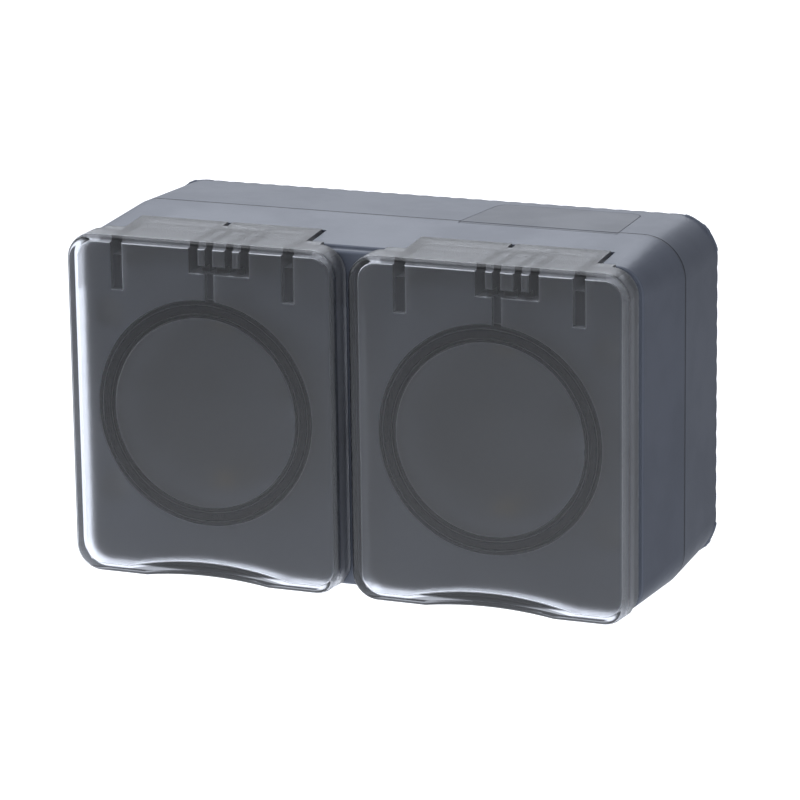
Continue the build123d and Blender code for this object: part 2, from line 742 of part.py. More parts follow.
# Lids with their gaskets, hinge pins and springs
for side, sign in sides.items():
    x = sign * lid_x
    with BuildPart() as lid:
        with BuildSketch(at_depth(lid_back)):
            with Locations((x, lid_z)):
                RectangleRounded(lid_width, lid_height, front_corner)
        extrude(amount=lid_depth)
        # shallow finger scoop along the bottom edge
        with BuildSketch(at_depth(lid_back)):
            with BuildLine():
                left_end = (x - scoop_width / 2, -front_half_height)
                right_end = (x + scoop_width / 2, -front_half_height)
                ThreePointArc(left_end, (x, scoop_rise - front_half_height), right_end)
                Line(right_end, left_end)
            make_face()
        extrude(amount=lid_depth, mode=Mode.SUBTRACT)
        fillet(lid.faces().sort_by(Axis.Y)[0].edges(), lid_edge_round)
        # hollow, kept clear of the scoop by a wall of its own
        with BuildSketch(at_depth(lid_back)):
            with Locations((x, lid_z)):
                RectangleRounded(lid_width - 2 * lid_wall, lid_height - 2 * lid_wall, front_corner - lid_wall)
            with BuildLine():
                pad_left = (x - scoop_pad_width / 2, lid_wall - front_half_height)
                pad_right = (x + scoop_pad_width / 2, lid_wall - front_half_height)
                ThreePointArc(pad_left, (x, scoop_rise + scoop_wall - front_half_height), pad_right)
                Line(pad_right, pad_left)
            make_face(mode=Mode.SUBTRACT)
        extrude(amount=lid_depth - lid_face, mode=Mode.SUBTRACT)
        # lip of the top wall, over the housing's rim
        with BuildSketch(at_depth(lid_back - lip_reach)):
            with Locations((x, lid_top)):
                lip_width = lid_width - 2 * front_corner
                Rectangle(lip_width, lip_thickness, align=(Align.CENTER, Align.MAX))
        extrude(amount=lip_reach + lid_wall)
        # hinge plate, level over the rim and then rising with the housing's top
        with BuildSketch(Plane.YZ.offset(x - plate_half)):
            with BuildLine():
                Polyline(
                    (-lid_inside, lid_top),
                    (-edge_depth, lid_top),
                    (-plate_rear, plate_rear_z),
                    (-plate_rear, plate_rear_z - lid_wall),
                    (-edge_depth, plate_under),
                    (-lid_inside, plate_under),
                    close=True,
                )
            make_face()
        extrude(amount=plate_width)
        # arms at the plate's ends, each with an eye on the pin and a foot down the front
        arm_starts = (x - plate_half, x + plate_half - arm_width)
        for start in arm_starts:
            with BuildSketch(Plane.YZ.offset(start)):
                with Locations((-hinge_depth, hinge_z)):
                    Circle(knuckle_radius)
                with Locations((-hinge_depth, plate_middle)):
                    Rectangle(lid_inside - hinge_depth, arm_drop, align=Align.MAX)
                with Locations((-lid_inside, lid_top)):
                    Rectangle(arm_foot_depth, arm_foot_length, align=(Align.MIN, Align.MAX))
            extrude(amount=arm_width)
        # comb: outer prongs with eyes, shorter inner prongs, and the bar that the spring presses on
        for start in (x + comb_left, x + comb_right - comb_outer_prong):
            with BuildSketch(Plane.YZ.offset(start)):
                with Locations((-hinge_depth, hinge_z)):
                    Circle(knuckle_radius)
                with Locations((-hinge_depth, plate_middle)):
                    Rectangle(lid_inside - hinge_depth, plate_middle - comb_bottom, align=Align.MAX)
            extrude(amount=comb_outer_prong)
        inner_rear = hinge_depth + spring_hollow
        for middle in (inner_prong_left, inner_prong_right):
            with BuildSketch(Plane.YZ.offset(x + middle - comb_inner_prong / 2)):
                with Locations((-inner_rear, plate_middle)):
                    Rectangle(lid_inside - inner_rear, plate_middle - comb_bottom, align=Align.MAX)
            extrude(amount=comb_inner_prong)
        with BuildSketch(Plane.YZ.offset(x + comb_left)):
            with Locations((-lid_inside, bar_top)):
                Rectangle(comb_bar_depth, bar_top - comb_bottom, align=(Align.MIN, Align.MAX))
        extrude(amount=comb_width)
        # spine from the comb down to the ring
        with BuildSketch(at_depth(lid_inside - spine_height)):
            with Locations((x + inner_prong_left, comb_bottom)):
                spine_length = comb_bottom - ring_outer_radius + ring_rib
                Rectangle(spine_width, spine_length, align=(Align.CENTER, Align.MAX))
        extrude(amount=spine_height)
        # two ring ribs that hold the gasket
        with BuildSketch(at_depth(lid_inside - ring_rib_height)):
            with Locations((x, 0)):
                Circle(ring_outer_radius)
                Circle(ring_inner_radius, mode=Mode.SUBTRACT)
        extrude(amount=ring_rib_height)
        with BuildSketch(at_depth(lid_back)):
            with Locations((x, 0)):
                Circle(ring_outer_radius - ring_rib)
                Circle(ring_inner_radius + ring_rib, mode=Mode.SUBTRACT)
        extrude(amount=lid_inside - lid_back, mode=Mode.SUBTRACT)
        # room for the spring's coil, bore for the pin and the small notch in the plate's rear edge
        with BuildSketch(Plane.YZ.offset(x + comb_left + comb_outer_prong)):
            with Locations((-hinge_depth, hinge_z)):
                Circle(spring_hollow)
        extrude(amount=comb_width - 2 * comb_outer_prong, mode=Mode.SUBTRACT)
        with BuildSketch(Plane.YZ.offset(x - plate_half)):
            with Locations((-hinge_depth, hinge_z)):
                Circle(pin_radius + pin_running_clearance)
        extrude(amount=plate_width, mode=Mode.SUBTRACT)
        with BuildSketch(Plane.XY.offset(hinge_z)):
            with Locations((x + notch_x, -plate_rear)):
                Rectangle(notch_width, notch_length, align=(Align.CENTER, Align.MAX))
        extrude(amount=2 * lid_wall, mode=Mode.SUBTRACT)
    save(lid.part, f"{side}_lid")

    with BuildPart() as lid_gasket:
        with BuildSketch(at_depth(lid_back)):
            with Locations((x, 0)):
                Circle(ring_outer_radius - ring_rib - ring_fit)
                Circle(ring_inner_radius + ring_rib + ring_fit, mode=Mode.SUBTRACT)
        extrude(amount=lid_inside - lid_back)
    save(lid_gasket.part, f"{side}_lid_gasket")

    with BuildPart() as hinge_pin:
        with BuildSketch(Plane.YZ.offset(x - pocket_half - pocket_wall)):
            with Locations((-hinge_depth, hinge_z)):
                Circle(pin_radius)
        extrude(amount=2 * (pocket_half + pocket_wall) + pocket_slot_width)
    save(hinge_pin.part, f"{side}_hinge_pin")

    with BuildPart() as lid_spring:
        with Locations((x, -hinge_depth, hinge_z)):
            add(spring.part)
    save(lid_spring.part, f"{side}_lid_spring")
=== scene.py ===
"""Looks of a double weatherproof outdoor socket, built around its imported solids.

Lengths are metres in the part's own frame: +X right, +Y into the wall, +Z up, origin on the wall face.
"""

import json
import logging
import math
from dataclasses import dataclass
from enum import Enum
from typing import Any, Callable

import bmesh
import bpy
from mathutils import Matrix, Vector

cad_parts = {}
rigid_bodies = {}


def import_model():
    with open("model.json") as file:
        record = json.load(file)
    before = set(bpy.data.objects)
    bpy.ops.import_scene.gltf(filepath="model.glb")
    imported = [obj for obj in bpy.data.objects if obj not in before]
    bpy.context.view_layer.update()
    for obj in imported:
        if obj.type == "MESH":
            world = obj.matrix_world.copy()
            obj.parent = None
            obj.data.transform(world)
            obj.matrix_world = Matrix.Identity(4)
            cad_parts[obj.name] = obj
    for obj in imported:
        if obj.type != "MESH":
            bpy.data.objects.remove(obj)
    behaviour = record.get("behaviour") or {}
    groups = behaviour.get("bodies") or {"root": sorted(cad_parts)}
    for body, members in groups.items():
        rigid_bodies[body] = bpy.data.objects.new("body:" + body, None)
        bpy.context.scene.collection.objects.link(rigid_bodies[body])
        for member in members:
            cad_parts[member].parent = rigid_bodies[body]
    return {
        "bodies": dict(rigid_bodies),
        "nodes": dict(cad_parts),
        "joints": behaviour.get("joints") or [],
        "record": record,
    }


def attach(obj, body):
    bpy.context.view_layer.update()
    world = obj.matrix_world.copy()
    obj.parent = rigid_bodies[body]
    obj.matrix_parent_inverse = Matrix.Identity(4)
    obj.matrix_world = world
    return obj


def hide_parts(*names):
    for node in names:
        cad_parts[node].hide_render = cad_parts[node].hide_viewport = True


LOG = logging.getLogger("socket")
Colour = tuple[float, float, float]
Point = tuple[float, float, float]
Span = tuple[float, float]
Sockets = dict[str, bpy.types.NodeSocket]

# Places that several pieces share: the wells' distance from the middle, and the lids' planes from the wall
MM = 0.001
WELL_X = 0.033375
LID_BACK = 0.05145
LID_INSIDE = 0.0561
LID_FRONT = 0.0583

# Screw heads: the top's share of the head's radius, and the recess's length as a share of it
HEAD_TAPER = 0.86
RECESS_REACH = 1.2

QUARTER_TURN: Point = (math.pi / 2, 0.0, 0.0)
BLACK: Colour = (0.0, 0.0, 0.0)
WHITE: Colour = (1.0, 1.0, 1.0)
COOL_WHITE: Colour = (0.93, 0.97, 1.05)


class Side(Enum):
    """The two lids and wells, seen from the front."""

    LEFT = "left"
    RIGHT = "right"


class Facing(Enum):
    """Where a screw's head points, as the tilt about X that turns it there."""

    FRONT = math.pi / 2
    WALL = -math.pi / 2


class Slot(Enum):
    """Material slots of the part's record."""

    CASE = "case"
    ENTRY = "entry"
    SMOKE = "smoke"
    SEAL = "seal"
    CUP = "cup"
    CARRIER = "carrier"
    BRASS = "brass"
    STEEL = "steel"
    SPRING = "spring"


class NodeBoard:
    """Adds and links the nodes of one tree."""

    def __init__(self, tree: bpy.types.NodeTree) -> None:
        """Take over a tree and clear it.

        Args:
            tree: Node tree of a material, a world or a group.
        """
        self.tree = tree
        tree.nodes.clear()

    def add(self, kind: str, inputs: dict[Any, Any] | None = None, **settings: Any) -> bpy.types.Node:
        """Add one node.

        Args:
            kind: Blender's name of the node type.
            inputs: Values or sockets for its inputs, by name or index.
            **settings: Properties of the node itself.

        Returns:
            The new node.
        """
        node = self.tree.nodes.new(kind)
        for name, value in settings.items():
            setattr(node, name, value)
        for key, value in (inputs or {}).items():
            self.feed(node.inputs[key], value)
        return node

    def feed(self, target: bpy.types.NodeSocket, value: Any) -> None:
        """Link a socket to an input, or set the input's own value.

        Args:
            target: Input socket.
            value: Output socket to link, or a plain value.
        """
        if isinstance(value, bpy.types.NodeSocket):
            self.tree.links.new(value, target)
        else:
            target.default_value = value

    def math(self, operation: str, first: Any, second: Any = 0.0, third: Any = 0.0) -> bpy.types.NodeSocket:
        """Add a Math node.

        Args:
            operation: Name of the operation.
            first: First operand.
            second: Second operand.
            third: Third operand, where the operation has one.

        Returns:
            Its result.
        """
        kind = "ShaderNodeMath"
        return self.add(kind, {0: first, 1: second, 2: third}, operation=operation).outputs[0]

    def remap(self, value: Any, low: float, high: float, to_low: Any, to_high: Any) -> bpy.types.NodeSocket:
        """Map a range of a value to another one, clamped and smoothed.

        Args:
            value: Value to map.
            low: Start of its range.
            high: End of its range.
            to_low: Result at the start.
            to_high: Result at the end.

        Returns:
            The mapped value.
        """
        inputs = {"Value": value, 1: low, 2: high, 3: to_low, 4: to_high}
        return self.add("ShaderNodeMapRange", inputs, interpolation_type="SMOOTHSTEP").outputs[0]

    def blend(self, factor: Any, first: Any, second: Any, mode: str = "MIX") -> bpy.types.NodeSocket:
        """Mix two colours.

        Args:
            factor: Share of the second colour.
            first: First colour.
            second: Second colour.
            mode: How they are mixed.

        Returns:
            The mixed colour.
        """
        node = self.add("ShaderNodeMix", data_type="RGBA", blend_type=mode)
        self.feed(node.inputs[0], factor)
        self.feed(node.inputs[6], rgba(first))
        self.feed(node.inputs[7], rgba(second))
        return node.outputs[2]


def rgba(colour: Any) -> Any:
    """Give a plain colour its fourth number, and leave a socket as it is."""
    return colour if isinstance(colour, bpy.types.NodeSocket) else (*colour, 1.0)


def scaled(colour: Colour, share: float) -> Colour:
    """Make a colour lighter or darker by a share."""
    return tuple(channel * share for channel in colour)


def placed(name: str, data: bpy.types.ID) -> bpy.types.Object:
    """Put a mesh, lamp or camera into the scene.

    Args:
        name: Name of the object.
        data: What it shows.

    Returns:
        The object, at the origin.
    """
    made = bpy.data.objects.new(name, data)
    bpy.context.scene.collection.objects.link(made)
    return made


@dataclass(frozen=True)
class Effect:
    """Shading effect that several finishes share, built once as a node group."""

    name: str
    inputs: tuple[tuple[str, str, float], ...]
    outputs: tuple[tuple[str, str], ...]
    wire: Callable[[NodeBoard, Sockets], Sockets]

    def group(self) -> bpy.types.NodeTree:
        """Build the group at its first use.

        Returns:
            The group.
        """
        if self.name in bpy.data.node_groups:
            return bpy.data.node_groups[self.name]
        tree = bpy.data.node_groups.new(self.name, "ShaderNodeTree")
        for name, kind, value in self.inputs:
            socket = tree.interface.new_socket(name, in_out="INPUT", socket_type=f"NodeSocket{kind}")
            if kind == "Float":
                socket.default_value = value
        for name, kind in self.outputs:
            tree.interface.new_socket(name, in_out="OUTPUT", socket_type=f"NodeSocket{kind}")
        board = NodeBoard(tree)
        given = board.add("NodeGroupInput")
        results = self.wire(board, {socket.name: socket for socket in given.outputs if socket.name})
        board.add("NodeGroupOutput", results)
        return tree

    def place(self, board: NodeBoard, **values: Any) -> bpy.types.Node:
        """Place the group in a material.

        Args:
            board: The material's nodes.
            **values: Inputs by name, with _ for a space.

        Returns:
            The group's node.
        """
        inputs = {name.replace("_", " "): value for name, value in values.items()}
        return board.add("ShaderNodeGroup", inputs, node_tree=self.group())


def wire_mould_grain(board: NodeBoard, given: Sockets) -> Sockets:
    """Wire the fine grain that an eroded mould leaves, with slow mottling from the flow of the melt.

    Args:
        board: Nodes of the group.
        given: The group's inputs.

    Returns:
        The group's outputs.
    """
    grain = board.add(
        "ShaderNodeTexNoise",
        {"Vector": given["Vector"], "Scale": given["Grain Scale"], "Detail": 2.0, "Roughness": 0.55},
    )
    pits = board.add(
        "ShaderNodeTexVoronoi",
        {"Vector": given["Vector"], "Scale": given["Grain Scale"]},
        feature="F1",
    )
    mottle = board.add(
        "ShaderNodeTexNoise",
        {"Vector": given["Vector"], "Scale": given["Mottle Scale"], "Detail": 4.0, "Roughness": 0.6},
    )
    pit_share = 0.5
    mottle_span = (0.3, 0.7)
    height = board.math("MULTIPLY_ADD", pits.outputs["Distance"], pit_share, grain.outputs["Fac"])
    return {"Height": height, "Mottle": board.remap(mottle.outputs["Fac"], *mottle_span, 0.0, 1.0)}


def wire_edge_mask(board: NodeBoard, given: Sockets) -> Sockets:
    """Wire a mask of the sharp edges, with the normal that rounds them.

    Args:
        board: Nodes of the group.
        given: The group's inputs.

    Returns:
        The group's outputs.
    """
    rounded = board.add("ShaderNodeBevel", {"Radius": given["Radius"]}, samples=4)
    plain = board.add("ShaderNodeNewGeometry")
    likeness = board.add(
        "ShaderNodeVectorMath",
        {0: rounded.outputs["Normal"], 1: plain.outputs["Normal"]},
        operation="DOT_PRODUCT",
    )
    edge_span = (0.75, 0.995)
    return {
        "Mask": board.remap(likeness.outputs["Value"], *edge_span, 1.0, 0.0),
        "Normal": rounded.outputs["Normal"],
    }


def wire_drawn_streaks(board: NodeBoard, given: Sockets) -> Sockets:
    """Wire the fine streaks of rolled or drawn metal, with patches of dull film.

    Args:
        board: Nodes of the group.
        given: The group's inputs.

    Returns:
        The group's outputs.
    """
    stretch = (0.06, 1.0, 1.0)
    film_span = (0.42, 0.68)
    turned = board.add("ShaderNodeMapping", {"Vector": given["Vector"], "Scale": stretch})
    streaks = board.add(
        "ShaderNodeTexNoise",
        {"Vector": turned.outputs[0], "Scale": given["Streak Scale"], "Detail": 3.0, "Roughness": 0.7},
    )
    film = board.add(
        "ShaderNodeTexNoise",
        {"Vector": given["Vector"], "Scale": given["Film Scale"], "Detail": 5.0, "Roughness": 0.65},
    )
    return {
        "Streaks": streaks.outputs["Fac"],
        "Film": board.remap(film.outputs["Fac"], *film_span, 0.0, 1.0),
    }


def wire_joint_line(board: NodeBoard, given: Sockets) -> Sockets:
    """Wire a mask of the fine groove where two mouldings meet.

    Args:
        board: Nodes of the group.
        given: The group's inputs.

    Returns:
        The group's outputs.
    """
    depth = board.add("ShaderNodeSeparateXYZ", {0: given["Vector"]}).outputs["Y"]
    past = board.math("ABSOLUTE", board.math("ADD", depth, given["Depth"]))
    groove_span = (0.3, 1.0)
    return {"Groove": board.remap(board.math("DIVIDE", past, given["Width"]), *groove_span, 1.0, 0.0)}


MOULD_GRAIN = Effect(
    "mould_grain",
    (("Vector", "Vector", 0.0), ("Grain Scale", "Float", 3000.0), ("Mottle Scale", "Float", 60.0)),
    (("Height", "Float"), ("Mottle", "Float")),
    wire_mould_grain,
)
EDGE_MASK = Effect(
    "edge_mask",
    (("Radius", "Float", 0.0003),),
    (("Mask", "Float"), ("Normal", "Vector")),
    wire_edge_mask,
)
JOINT_LINE = Effect(
    "joint_line",
    (("Vector", "Vector", 0.0), ("Depth", "Float", 0.025), ("Width", "Float", 0.00015)),
    (("Groove", "Float"),),
    wire_joint_line,
)
DRAWN_STREAKS = Effect(
    "drawn_streaks",
    (("Vector", "Vector", 0.0), ("Streak Scale", "Float", 4000.0), ("Film Scale", "Float", 300.0)),
    (("Streaks", "Float"), ("Film", "Float")),
    wire_drawn_streaks,
)


@dataclass(frozen=True)
class Finish:
    """Surface finish that becomes one procedural material."""

    name: str

    def material(self) -> bpy.types.Material:
        """Build the material at its first use.

        Returns:
            The material.
        """
        if self.name in bpy.data.materials:
            return bpy.data.materials[self.name]
        made = bpy.data.materials.new(self.name)
        made.use_nodes = True
        self.paint(NodeBoard(made.node_tree))
        return made

    def paint(self, board: NodeBoard) -> None:
        """Wire the material's nodes, which each kind of finish does in its own way."""
        raise NotImplementedError(self.name)


@dataclass(frozen=True)
class MouldedPlastic(Finish):
    """Opaque moulded plastic or rubber with a fine matte grain."""

    colour: Colour = (0.08, 0.09, 0.11)
    swing: float = 0.06
    roughness: float = 0.45
    grain_scale: float = 2600.0
    grain_depth: float = 0.000012
    mottle_scale: float = 45.0
    edge_radius: float = 0.00025
    # Painted highlight on the sharp edges: its share, and how much brighter than the colour it is
    edge_highlight: float = 0.12
    edge_highlight_gain: float = 2.2
    specular: float = 0.5
    sheen_tint: Colour = (0.84, 0.90, 1.0)
    seam_depth: float = -1.0
    seam_width: float = 0.0004
    seam_sink: float = 0.0003
    seam_shade: float = 0.1

    def paint(self, board: NodeBoard) -> None:
        """Wire mottled colour, a painted highlight on the sharp edges, painted shade in the seam's groove,
        roughness and grain.

        Args:
            board: The material's nodes.
        """
        place = board.add("ShaderNodeTexCoord").outputs["Object"]
        grain = MOULD_GRAIN.place(
            board, Vector=place, Grain_Scale=self.grain_scale, Mottle_Scale=self.mottle_scale
        )
        edge = EDGE_MASK.place(board, Radius=self.edge_radius)
        low, high = scaled(self.colour, 1 - self.swing), scaled(self.colour, 1 + self.swing)
        body = board.blend(grain.outputs["Mottle"], low, high)
        # Painted highlight: the sharp edges are blended towards a brighter copy of the colour
        highlight = board.math("MULTIPLY", edge.outputs["Mask"], self.edge_highlight)
        colour = board.blend(highlight, body, scaled(self.colour, self.edge_highlight_gain))
        seam = JOINT_LINE.place(board, Vector=place, Depth=self.seam_depth, Width=self.seam_width)
        # Painted shade in the seam's groove: the colour darkens there to seam_shade of itself
        colour = board.blend(seam.outputs["Groove"], colour, scaled(self.colour, self.seam_shade))
        spread = self.roughness * self.swing
        dull = board.remap(
            grain.outputs["Mottle"], 0.0, 1.0, self.roughness + spread, self.roughness - spread
        )
        sunk = board.add(
            "ShaderNodeBump",
            {
                "Distance": self.seam_sink,
                "Height": seam.outputs["Groove"],
                "Normal": edge.outputs["Normal"],
            },
            invert=True,
        )
        bump = board.add(
            "ShaderNodeBump",
            {
                "Distance": self.grain_depth,
                "Height": grain.outputs["Height"],
                "Normal": sunk.outputs[0],
            },
        )
        shader = board.add(
            "ShaderNodeBsdfPrincipled",
            {
                "Base Color": colour,
                "Roughness": dull,
                "Normal": bump.outputs[0],
                "Specular IOR Level": self.specular,
                "Specular Tint": rgba(self.sheen_tint),
            },
        )
        board.add("ShaderNodeOutputMaterial", {"Surface": shader.outputs[0]})


@dataclass(frozen=True)
class SmokePlastic(Finish):
    """Smoke-tinted clear plastic, polished in front and frosted inside and on its hinge plate."""

    # Colour of the plastic, and the share of it that each zone keeps under its painted shade
    tint: Colour = (0.96, 0.97, 0.99)
    rib_painted_shade: float = 0.35
    ring_painted_shade: float = 0.12
    rim_painted_shade: float = 0.45
    foot_painted_shade: float = 0.15
    plate_painted_shade: float = 0.27
    mottle_tint: float = 0.985
    depth_colour: Colour = (0.34, 0.35, 0.38)
    depth_density: float = 140.0
    refraction: float = 1.5

    # Roughness and grain
    polish: float = 0.10
    frost: float = 0.40
    plate_frost: float = 0.32
    frost_swing: Span = (0.95, 1.05)
    grain_scale: float = 2600.0
    grain_depth: float = 0.000006
    sparkle_depth: float = 0.00008
    mottle_scale: float = 35.0

    # Share of the light that shadow rays keep
    clear_shade: float = 1.0
    panel_shade: float = 1.0
    wall_shade: float = 0.1

    # Places of the zones, where a span is the soft edge of one
    centre: float = WELL_X
    front: float = LID_FRONT
    inside: float = LID_INSIDE
    back: float = LID_BACK
    frost_span: Span = (0.6, 0.75)
    reach_span: Span = (0.0300, 0.0304)
    rib_span: Span = (0.0256, 0.0259)
    plate_span: Span = (0.0379, 0.0381)
    hollow_span: Span = (0.0370, 0.0374)
    raised_span: Span = (0.0004, 0.0006)
    panel_span: Span = (0.0001, 0.0003)
    rim_span: Span = (-0.0002, -0.0001)
    ring_radii: Span = (0.0215, 0.0256)
    foot_span: Span = (-0.0372, -0.0370)
    foot_half: float = 0.0193
    foot_rise: float = 0.0024

    def zones(self, board: NodeBoard, place: bpy.types.NodeSocket) -> Sockets:
        """Wire a mask for each zone of the lid.

        Args:
            board: The material's nodes.
            place: Object coordinates.

        Returns:
            The masks, by the names of the zones.
        """
        parts = board.add("ShaderNodeSeparateXYZ", {0: place}).outputs
        depth, level = parts["Y"], parts["Z"]
        across = board.math("SUBTRACT", board.math("ABSOLUTE", parts["X"]), self.centre)
        rear = board.math("ADD", depth, self.inside)
        face = [share * (self.front - self.inside) for share in self.frost_span]
        behind = board.remap(board.math("ADD", depth, self.front), *face, 0.0, 1.0)
        within = board.remap(board.math("ABSOLUTE", across), *self.reach_span, 1.0, 0.0)
        below = board.remap(level, *self.hollow_span, 1.0, 0.0)
        high = board.remap(level, *self.rib_span, 0.0, 1.0)
        raised = board.remap(rear, *self.raised_span, 0.0, 1.0)
        ribs = board.math("MULTIPLY", board.math("MULTIPLY", within, below), high)
        flat = board.remap(board.math("ABSOLUTE", rear), *self.panel_span, 1.0, 0.0)
        rim = board.remap(board.math("ADD", depth, self.back), *self.rim_span, 0.0, 1.0)
        return {
            "behind": behind,
            "plate": board.remap(level, *self.plate_span, 0.0, 1.0),
            "panel": board.math("MULTIPLY", flat, within),
            "ribs": board.math("MULTIPLY", ribs, raised),
            "ring": board.math("MULTIPLY", self.ring_zone(board, across, level), raised),
            "rim": board.math("MULTIPLY", rim, below),
            "foot": self.foot_zone(board, across, level, rear),
        }

    def ring_zone(
        self, board: NodeBoard, across: bpy.types.NodeSocket, level: bpy.types.NodeSocket
    ) -> bpy.types.NodeSocket:
        """Wire a mask of the band round the well in which the ring's two ribs stand.

        Args:
            board: The material's nodes.
            across: Distance to the right of the well's middle.
            level: Height above it.

        Returns:
            The mask.
        """
        inner, outer = self.ring_radii
        flat_place = board.add("ShaderNodeCombineXYZ", {"X": across, "Y": level}).outputs[0]
        radius = board.add("ShaderNodeVectorMath", {0: flat_place}, operation="LENGTH").outputs["Value"]
        past = board.math("GREATER_THAN", radius, inner)
        return board.math("MULTIPLY", past, board.math("LESS_THAN", radius, outer))

    def foot_zone(
        self,
        board: NodeBoard,
        across: bpy.types.NodeSocket,
        level: bpy.types.NodeSocket,
        rear: bpy.types.NodeSocket,
    ) -> bpy.types.NodeSocket:
        """Wire a mask of the strip along the face's bottom edge, which arches over the finger scoop.

        Args:
            board: The material's nodes.
            across: Distance to the right of the well's middle.
            level: Height above it.
            rear: Distance behind the inside of the face.

        Returns:
            The mask.
        """
        bow = board.math("POWER", board.math("DIVIDE", across, self.foot_half), 2.0)
        arch = board.math("MAXIMUM", board.math("SUBTRACT", 1.0, bow), 0.0)
        height = board.math("MULTIPLY_ADD", arch, -self.foot_rise, level)
        strip = board.remap(height, *self.foot_span, 1.0, 0.0)
        return board.math("MULTIPLY", strip, board.math("LESS_THAN", rear, 0.0))

    def tone(self, board: NodeBoard, zones: Sockets, mottle: bpy.types.NodeSocket) -> bpy.types.NodeSocket:
        """Wire the plastic's colour, with painted shade that darkens the ribs, ring, rim, foot strip and
        hinge plate.

        Args:
            board: The material's nodes.
            zones: Masks of the zones.
            mottle: Slow mottling of the melt.

        Returns:
            The colour.
        """
        painted_shades = {
            "ribs": self.rib_painted_shade,
            "ring": self.ring_painted_shade,
            "rim": self.rim_painted_shade,
            "foot": self.foot_painted_shade,
            "plate": self.plate_painted_shade,
        }
        share = board.remap(mottle, 0.0, 1.0, self.mottle_tint, 1.0)
        # Painted shade: each zone darkens the same plastic by its share
        for zone, tint in painted_shades.items():
            share = board.math("MULTIPLY", share, board.remap(zones[zone], 0.0, 1.0, 1.0, tint))
        return board.blend(share, BLACK, self.tint)

    def veil(self, board: NodeBoard, zones: Sockets) -> bpy.types.NodeSocket:
        """Wire the clear shader that shadow rays meet, darker on the walls than on the face.

        Args:
            board: The material's nodes.
            zones: Masks of the zones.

        Returns:
            The shader.
        """
        walls = board.remap(zones["panel"], 0.0, 1.0, self.wall_shade, self.panel_shade)
        shade = board.remap(zones["behind"], 0.0, 1.0, self.clear_shade, walls)
        grey = board.add("ShaderNodeCombineColor", {"Red": shade, "Green": shade, "Blue": shade})
        return board.add("ShaderNodeBsdfTransparent", {"Color": grey.outputs[0]}).outputs[0]

    def paint(self, board: NodeBoard) -> None:
        """Wire the polished face, the frosted inside, the zones darkened by painted shade and the depth tint.

        Args:
            board: The material's nodes.
        """
        place = board.add("ShaderNodeTexCoord").outputs["Object"]
        grain = MOULD_GRAIN.place(
            board, Vector=place, Grain_Scale=self.grain_scale, Mottle_Scale=self.mottle_scale
        )
        mottle = grain.outputs["Mottle"]
        zones = self.zones(board, place)
        frost = board.remap(zones["plate"], 0.0, 1.0, self.frost, self.plate_frost)
        even = board.remap(zones["behind"], 0.0, 1.0, self.polish, frost)
        swing = board.remap(mottle, 0.0, 1.0, *self.frost_swing)
        bump = board.add(
            "ShaderNodeBump",
            {
                "Strength": zones["behind"],
                "Distance": board.remap(zones["plate"], 0.0, 1.0, self.grain_depth, self.sparkle_depth),
                "Height": grain.outputs["Height"],
            },
        )
        body = board.add(
            "ShaderNodeBsdfPrincipled",
            {
                "Base Color": self.tone(board, zones, mottle),
                "Roughness": board.math("MULTIPLY", even, swing),
                "IOR": self.refraction,
                "Transmission Weight": 1.0,
                "Normal": bump.outputs[0],
            },
        )
        shadow = board.add("ShaderNodeLightPath").outputs["Is Shadow Ray"]
        both = board.add("ShaderNodeMixShader", {0: shadow, 1: body.outputs[0], 2: self.veil(board, zones)})
        smoke = board.add(
            "ShaderNodeVolumeAbsorption",
            {"Color": rgba(self.depth_colour), "Density": self.depth_density},
        )
        board.add("ShaderNodeOutputMaterial", {"Surface": both.outputs[0], "Volume": smoke.outputs[0]})


@dataclass(frozen=True)
class SheetMetal(Finish):
    """Bare metal with drawn streaks and patches of dull film."""

    colour: Colour = (0.70, 0.52, 0.24)
    film_colour: Colour = (0.40, 0.27, 0.12)
    roughness: float = 0.30
    film_roughness: float = 0.50
    streak_scale: float = 5000.0
    streak_depth: float = 0.000004
    streak_swing: Span = (0.88, 1.08)
    film_scale: float = 260.0

    def paint(self, board: NodeBoard) -> None:
        """Wire streaks, film and polish.

        Args:
            board: The material's nodes.
        """
        place = board.add("ShaderNodeTexCoord").outputs["Object"]
        drawn = DRAWN_STREAKS.place(
            board, Vector=place, Streak_Scale=self.streak_scale, Film_Scale=self.film_scale
        )
        streaks, film = drawn.outputs["Streaks"], drawn.outputs["Film"]
        dark, light = (scaled(self.colour, share) for share in self.streak_swing)
        bright = board.blend(streaks, dark, light)
        colour = board.blend(film, bright, self.film_colour)
        dull = board.remap(film, 0.0, 1.0, self.roughness, self.film_roughness)
        bump = board.add("ShaderNodeBump", {"Distance": self.streak_depth, "Height": streaks})
        shader = board.add(
            "ShaderNodeBsdfPrincipled",
            {"Base Color": colour, "Roughness": dull, "Metallic": 1.0, "Normal": bump.outputs[0]},
        )
        board.add("ShaderNodeOutputMaterial", {"Surface": shader.outputs[0]})


